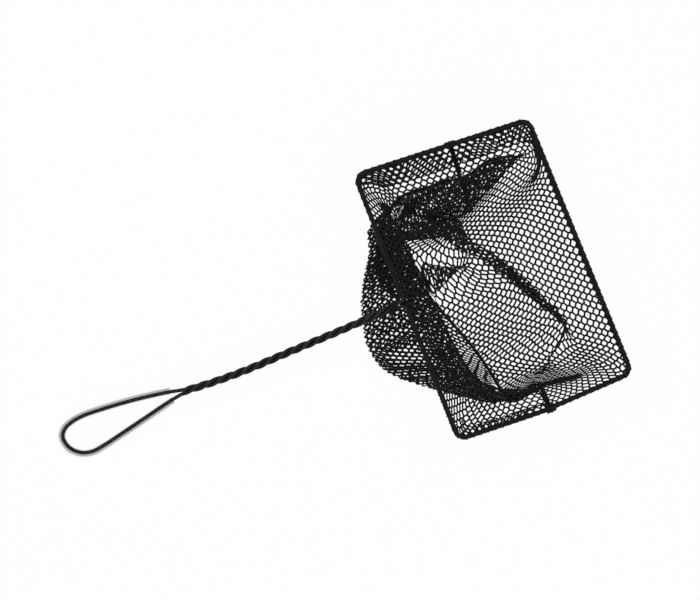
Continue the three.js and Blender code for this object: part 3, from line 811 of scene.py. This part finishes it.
def open_holes(bm, yarn):
    """Opens every face of a net into a hole, with yarn of even width round it."""
    holes = bm.faces[:]
    bmesh.ops.inset_individual(bm, faces=holes, thickness=0)
    for hole in holes:
        verts = hole.verts[:]
        corners = [vert.co.copy() for vert in verts]
        middle = hole.calc_center_median()
        sides = [after - before for before, after in zip(corners, corners[1:] + corners[:1])]
        reach = [(middle - corner).cross(side).length / max(side.length, 1e-6)
                 for corner, side in zip(corners, sides)]
        for k, vert in enumerate(verts):
            room = (reach[k] + reach[k - 1]) / 2
            vert.co = corners[k].lerp(middle, min(MESH_CLOSED, yarn / 2 / max(room, 1e-6)))
    bmesh.ops.delete(bm, geom=holes, context="FACES_ONLY")


def netting_piece(name, drape, material, seed, slant):
    """One piece of netting laid over its drape, and the area of its flat cut."""
    sizes = bpy.context.scene.bag_sizes
    mesh_depth = in_mm(sizes.mesh_depth)
    mesh_width = drape.width / round(drape.width / in_mm(sizes.mesh_width))
    yarn = in_mm(sizes.yarn_width)
    bm = flat_meshes(drape.width, drape.lengths[:, -1].max() + mesh_depth, mesh_width, mesh_depth)
    bmesh.ops.rotate(bm, matrix=Matrix.Rotation(-slant, 3, "Z"), verts=bm.verts)
    centres = np.array([face.calc_center_median()[:2] for face in bm.faces])
    beside, below = 0.1, 1
    outside = (centres < -beside).any(axis=1) | (centres[:, 0] > drape.width + beside)
    outside |= centres[:, 1] > drape.depth_at(centres[:, 0]) + below
    offcuts = [face for face, out in zip(bm.faces[:], outside) if out]
    bmesh.ops.delete(bm, geom=offcuts, context="FACES")
    cut = sum(face.calc_area() for face in bm.faces) * MM * MM
    bmesh.ops.remove_doubles(bm, verts=bm.verts, dist=0.01)
    bmesh.ops.subdivide_edges(bm, edges=bm.edges[:], cuts=1)
    flat = np.array([vert.co[:2] for vert in bm.verts])
    random = np.random.default_rng(seed)
    s = flat[:, 0] + np.interp(flat[:, 0] + 3 * flat[:, 1], *wander(random)) * MESH_WANDER
    t = flat[:, 1] + np.interp(flat[:, 1] + 2 * flat[:, 0], *wander(random)) * MESH_WANDER
    t = np.clip(t, 0, drape.depth_at(s) - 0.01)
    places, normals = drape.place(s, t)
    places[:, 2] = np.maximum(places[:, 2], 0.55 * yarn)
    lifts = [Vector(lift) for lift in normals * 0.5 * yarn]
    corners = bm.verts[:]
    for vert, place in zip(corners, places):
        vert.co = place
    open_holes(bm, yarn)
    faces, under = doubled(bm, bmesh.types.BMFace)
    bmesh.ops.reverse_faces(bm, faces=faces)
    for vert, lift in zip(corners, lifts):
        vert.co += lift
        under[vert].co -= lift
    bmesh.ops.remove_doubles(bm, verts=bm.verts, dist=1e-4)
    return finished(name, bm, material), cut


def wander(random):
    """Marks and values of a smooth random line."""
    marks = np.arange(0, WANDER_REACH, WANDER_STEP)
    values = np.convolve(random.normal(size=len(marks) + 4), (1, 2, 3, 2, 1), "valid") / 4
    return marks, values[:len(marks)]


def cord_piece(name, routes, material, sides=10, matrix=Matrix.Identity(4)):
    """An object of closed cords, each a route with its radii."""
    bm = bmesh.new()
    for route, radii in routes:
        sweep(bm, route_frames(route, radii), sides)
    return finished(name, bm, material, matrix)


def coil(route, radius, pitch, start=0.0, side=1):
    """A route wound round another route, with a turn for each pitch of its length."""
    along = headings(route)
    aside = left_of(along)
    above = np.cross(along, aside)
    angle = start + side * 2 * np.pi * lengths_along(route) / pitch
    sideways = aside * (radius * np.cos(angle))[:, None]
    return route + sideways + above * (radius * np.sin(angle))[:, None]


def bound(middle, reach, bore, thick):
    """Yarn wound in turns round a straight middle, over a filled barrel."""
    along = np.linspace(-0.5, 0.5, 160)
    barrel = np.sqrt(1 - (1.5 * along) ** 2)
    route = middle + np.outer(along, reach)
    size = np.linalg.norm(reach)
    radius = bore + WINDING / 2 + (thick - WINDING) * barrel
    # Close turns, sunk into one another and the barrel, and a few loose ones across them.
    inner = coil(route, radius - WINDING * 0.25, WINDING * 0.95)
    crossing = coil(route, radius + WINDING * 0.3, size * 0.42, 1.0, -1)
    return [(even_steps(inner, 620), WINDING / 2), (even_steps(crossing, 200), WINDING * 0.42)]


def ring_tube(bm, route, outer, inner, sides=16, tangents=None):
    """A tube with a bore, closed at both ends."""
    outside = sweep(bm, route_frames(route, outer, tangents), sides, False)
    inside = sweep(bm, route_frames(route, inner, tangents), sides, False)
    for first, second in zip(outside, inside):
        bmesh.ops.bridge_loops(bm, edges=first + second)


# Operators.


class POND_OT_stage(bpy.types.Operator):
    """Build the floor, the lights, the world and the camera"""

    bl_idname = "pond.stage"
    bl_label = "Stage"

    def execute(self, context):
        scene = context.scene
        scene.view_settings.view_transform = "Standard"
        bm = bmesh.new()
        bmesh.ops.create_grid(bm, x_segments=1, y_segments=1, size=FLOOR_REACH)
        floor = finished("floor", bm, self.floor_material())
        self.world(scene)
        for name, place, size, power in LAMPS:
            lamp = bpy.data.lights.new(name, "AREA")
            lamp.size = size
            lamp.energy = power
            light = linked(name, lamp)
            light.location = place
            light.rotation_euler = (-Vector(place)).to_track_quat("-Z", "Y").to_euler()
        self.camera(scene)
        return {"FINISHED"}

    def floor_material(self):
        """A white floor that keeps a faint shadow."""
        white = (0.9, 0.9, 0.9)
        material, tree, shader = new_material("white_floor", white, 1)
        tree.nodes.remove(shader)
        matt = node(tree, "ShaderNodeBsdfDiffuse", Color=(*white, 1))
        glow = node(tree, "ShaderNodeEmission", Color=(1, 1, 1, 1), Strength=1)
        mixed_surface(tree, ramp(tree, background_seen(tree), 0, FLOOR_WHITE), matt, glow)
        return material

    def world(self, scene):
        """A plain pale world, pure white to the camera."""
        world = bpy.data.worlds.new("studio")
        world.use_nodes = True
        scene.world = world
        tree = world.node_tree
        background = tree.nodes["Background"]
        strength = ramp(tree, background_seen(tree), WORLD_LIGHT, 1)
        tree.links.new(strength, background.inputs["Strength"])
        background.inputs["Color"].default_value = (1, 1, 1, 1)

    def camera(self, scene):
        """The camera square to the hoop, with the handle running down to the left."""
        data = bpy.data.cameras.new("photo_camera")
        data.lens = LENS
        data.sensor_width = SENSOR
        camera = linked("photo_camera", data)
        distance = VIEW_WIDTH * LENS / SENSOR * MM
        place = Matrix.Scale(MM, 4) @ HOOP_FRAME @ Vector((*VIEW_MIDDLE, 0))
        turn = HOOP_FRAME.to_3x3() @ Matrix.Rotation(VIEW_TURN, 3, "Z")
        place += turn @ Vector((0, 0, distance))
        camera.matrix_world = Matrix.Translation(place) @ turn.to_4x4()
        data.clip_end = 20
        scene.camera = camera


class POND_OT_wire(bpy.types.Operator):
    """Build the coated wire: hoop, three strands and loop"""

    bl_idname = "pond.wire"
    bl_label = "Wire"

    def execute(self, context):
        sizes = context.scene.wire_sizes
        strand_a, strand_b, strand_c = (strand_route(angle) for angle in STRAND_ANGLES)
        loop = loop_route(strand_a, strand_c)
        hoop = hoop_route()
        runs = [("strand_b", strand_b[::-1]), ("hoop", hoop[::-1]), ("strand_a", strand_a),
                ("loop", loop), ("strand_c", strand_c[::-1])]
        whole = np.vstack([run for _, run in runs])
        # Rounds the corners where the runs meet.
        for _ in range(4):
            whole[1:-1] = (whole[:-2] + 2 * whole[1:-1] + whole[2:]) / 4
        tangents = np.gradient(whole, axis=0)
        coat, core = coat_material(sizes.coat_colour), core_material(sizes.core_colour)
        coat_radius = in_mm(sizes.coat_diameter) / 2
        core_radius = in_mm(sizes.core_diameter) / 2
        start = 0
        for name, run in runs:
            stop = start + len(run)
            part = slice(start, min(stop + 1, len(whole)))
            route, ways = whole[part], tangents[part]
            bm = bmesh.new()
            ring_tube(bm, route, coat_radius, core_radius + 0.05, 16, ways)
            piece = finished(f"{name}_coat_wire", bm, coat, HOOP_FRAME)
            stands_for(piece, "coat", f"{name}_coat")
            bm = bmesh.new()
            sweep(bm, route_frames(route, core_radius, ways), 12)
            piece = finished(f"{name}_core_wire", bm, core, HOOP_FRAME)
            stands_for(piece, "core", f"{name}_core")
            start = stop
        return {"FINISHED"}


class POND_OT_sleeve(bpy.types.Operator):
    """Build the smoky sleeve over the loop"""

    bl_idname = "pond.sleeve"
    bl_label = "Sleeve"

    def execute(self, context):
        sizes = context.scene.wire_sizes
        loop = loop_route(strand_route(STRAND_ANGLES[0]), strand_route(STRAND_ANGLES[-1]))
        bare_end = 10
        cut = int(bare_end / lengths_along(loop)[-1] * len(loop))
        route = loop[cut:-cut]
        radius = in_mm(sizes.sleeve_diameter) / 2
        bore = radius - in_mm(sizes.sleeve_wall)
        play = bore - in_mm(sizes.coat_diameter) / 2
        # It lies to the outer side of the loop, by most of its play.
        route = route - left_of(headings(route)) * (0.9 * play)
        bm = bmesh.new()
        ring_tube(bm, route, radius, bore, 24)
        piece = finished("sleeve", bm, sleeve_material(sizes.sleeve_colour), HOOP_FRAME)
        stands_for(piece, "sleeve", "grip_sleeve")
        return {"FINISHED"}


class POND_OT_netting(bpy.types.Operator):
    """Build the two panels of netting and their turned-in edges"""

    bl_idname = "pond.netting"
    bl_label = "Netting"

    def execute(self, context):
        sizes = context.scene.bag_sizes
        far, near = bag_drapes()
        material = yarn_material("netting_yarn", sizes.netting_colour, 1500, 0.5)
        for name, drape, nodes, seed, slant in (
            ("far_netting", far, ["net_panel_far"], 3, 0),
            ("near_netting", near, ["net_panel_near"], 5, 0),
            ("far_netting_edge", far.turned_in(*FAR_TURN_IN), [], 7, TURN_IN_SLANT),
            ("near_netting_edge_upper", near.turned_in(*NEAR_TURN_IN), [], 9, TURN_IN_SLANT),
            ("near_netting_edge_lower", near.turned_in(*LOWER_TURN_IN, -1), [], 11, TURN_IN_SLANT),
        ):
            piece, cut = netting_piece(name, drape, material, seed, slant)
            stands_for(piece, "netting", *nodes)
        return {"FINISHED"}


class POND_OT_hems(bpy.types.Operator):
    """Build the rolled hems, with the yarn that laces them to the hoop"""

    bl_idname = "pond.hems"
    bl_label = "Hems"

    def execute(self, context):
        sizes = context.scene.bag_sizes
        upper, lower, handle, total = outline_marks()
        material = yarn_material("hem_yarn", sizes.yarn_colour, 900, 0.8)
        radius = in_mm(sizes.hem_diameter) / 2
        bore = in_mm(context.scene.wire_sizes.coat_diameter) / 2 + 0.1
        lacing = in_mm(sizes.lacing_diameter) / 2
        pitch = in_mm(sizes.mesh_width)
        for name, start, end in (
            ("rim_hem_far", upper + KNOT_ROOM, lower - KNOT_ROOM),
            ("rim_hem_near_lower", lower + KNOT_ROOM, handle - HANDLE_ROOM),
            ("rim_hem_near_upper", handle - total + HANDLE_ROOM, upper - KNOT_ROOM),
        ):
            lengths = np.arange(start, end, 0.8)
            route = outline_points(lengths)
            ridges = 0.06 * np.sin(2 * np.pi * lengths / pitch) + 0.02 * np.sin(lengths * 2.9)
            bm = bmesh.new()
            ring_tube(bm, route, (radius - 0.15) * (1 + ridges), bore)
            sweep(bm, route_frames(coil(route, radius + 0.05, pitch), lacing), 8)
            stands_for(finished(f"{name}_rolled", bm, material, HOOP_FRAME), "hem", name)
        return {"FINISHED"}


class POND_OT_ties(bpy.types.Operator):
    """Build the two knots on the hoop and the lashing at the handle"""

    bl_idname = "pond.ties"
    bl_label = "Knots and lashing"

    def execute(self, context):
        sizes = context.scene.bag_sizes
        segments, _ = outline_segments()
        upper, lower, _, _ = outline_marks()
        radius, _, _, _, start_x = twist_measures()
        coat = in_mm(context.scene.wire_sizes.coat_diameter) / 2
        material = yarn_material("tie_yarn", sizes.yarn_colour, 1100, 0.8)
        ties = []
        for name, mark, heading, thick in (
            ("seam_knot_upper", upper, segments[0][2], 1.8),
            ("seam_knot_lower", lower, segments[2][2], 2.9),
        ):
            reach = np.array((math.cos(heading), math.sin(heading), 0)) * KNOT_LENGTH
            ties.append((name, outline_points([mark])[0], reach, coat + 0.15, thick))
        middle = (start_x - LASHING_LENGTH / 2, HANDLE_OFFSET, -radius / 2)
        reach = (-LASHING_LENGTH, 0, 0)
        ties.append(("junction_lashing", middle, reach, radius + coat + 0.25, 1.2))
        for name, *measures in ties:
            piece = cord_piece(f"{name}_turns", bound(*measures), material, 8, HOOP_FRAME)
            stands_for(piece, "yarn", name)
        return {"FINISHED"}


class POND_OT_seams(bpy.types.Operator):
    """Build the gathered seams of the bag and the bunched edges beside them"""

    bl_idname = "pond.seams"
    bl_label = "Seams"

    def execute(self, context):
        sizes = context.scene.bag_sizes
        radius = in_mm(sizes.seam_diameter) / 2
        material = yarn_material("seam_yarn", sizes.yarn_colour, 900, 0.8)
        upper, lower, _, _ = outline_marks()
        starts = outline_points([upper, lower])
        starts[:, 2] -= SEAM_STARTS
        starts = out_of_hoop(starts)
        # Each seam is a number of times thicker than its yarn, with the netting gathered into it.
        bottom_share = 1.8
        bottom = fold_row(BOTTOM_SEAM, count=260)[6:-6]
        bottom[:, 2] = radius * bottom_share
        for name, route, share in (
            ("side_seam_upper", [starts[0], *places_seen(UPPER_SEAM_ROUTE)], 2),
            ("side_seam_lower", [starts[1], *places_seen(LOWER_SEAM_ROUTE)], 2.3),
            ("gathered_edge_upper", places_seen(GATHERED_EDGE), 1.5),
            ("gathered_edge_lower", places_seen(LOWER_EDGE), 2.5),
            ("bottom_seam", bottom, bottom_share),
        ):
            line = route
            if name != "bottom_seam":
                line = even_steps(smooth_curve(route, 30, 0.5), SEAM_POINTS)
            thick = radius * share
            marks = np.arange(len(line))
            gathers = 0.82 + 0.14 * np.sin(marks * 1.1) + 0.04 * np.sin(marks * 0.37)
            stitch = coil(line, thick * 0.72, STITCH_PITCH)
            cords = [(line, thick * gathers), (stitch, STITCH_RADIUS)]
            piece = cord_piece(f"{name}_cord", cords, material)
            stands_for(piece, "yarn", *([] if name.startswith("gathered") else [name]))
        return {"FINISHED"}


class POND_PT_panel(bpy.types.Panel):
    """Sidebar list of the net's operators and sizes"""

    bl_idname = "POND_PT_panel"
    bl_label = "Pond net"
    bl_space_type = "VIEW_3D"
    bl_region_type = "UI"
    bl_category = "Pond net"

    def draw(self, context):
        for operator in OPERATORS:
            self.layout.operator(operator.bl_idname)
        for group in (context.scene.wire_sizes, context.scene.bag_sizes):
            for key in group.__annotations__:
                self.layout.prop(group, key)


OPERATORS = (
    POND_OT_stage, POND_OT_wire, POND_OT_sleeve, POND_OT_netting, POND_OT_hems, POND_OT_ties,
    POND_OT_seams,
)
CLASSES = (WireSizes, BagSizes, *OPERATORS, POND_PT_panel)


def register():
    for cls in CLASSES:
        bpy.utils.register_class(cls)
    bpy.types.Scene.wire_sizes = bpy.props.PointerProperty(type=WireSizes)
    bpy.types.Scene.bag_sizes = bpy.props.PointerProperty(type=BagSizes)


def unregister():
    del bpy.types.Scene.bag_sizes
    del bpy.types.Scene.wire_sizes
    for cls in reversed(CLASSES):
        bpy.utils.unregister_class(cls)


def main():
    """Build every piece in order."""
    register()
    bpy.ops.pond.stage()
    bpy.ops.pond.wire()
    bpy.ops.pond.sleeve()
    bpy.ops.pond.netting()
    bpy.ops.pond.hems()
    bpy.ops.pond.ties()
    bpy.ops.pond.seams()


if __name__ == "__main__":
    main()
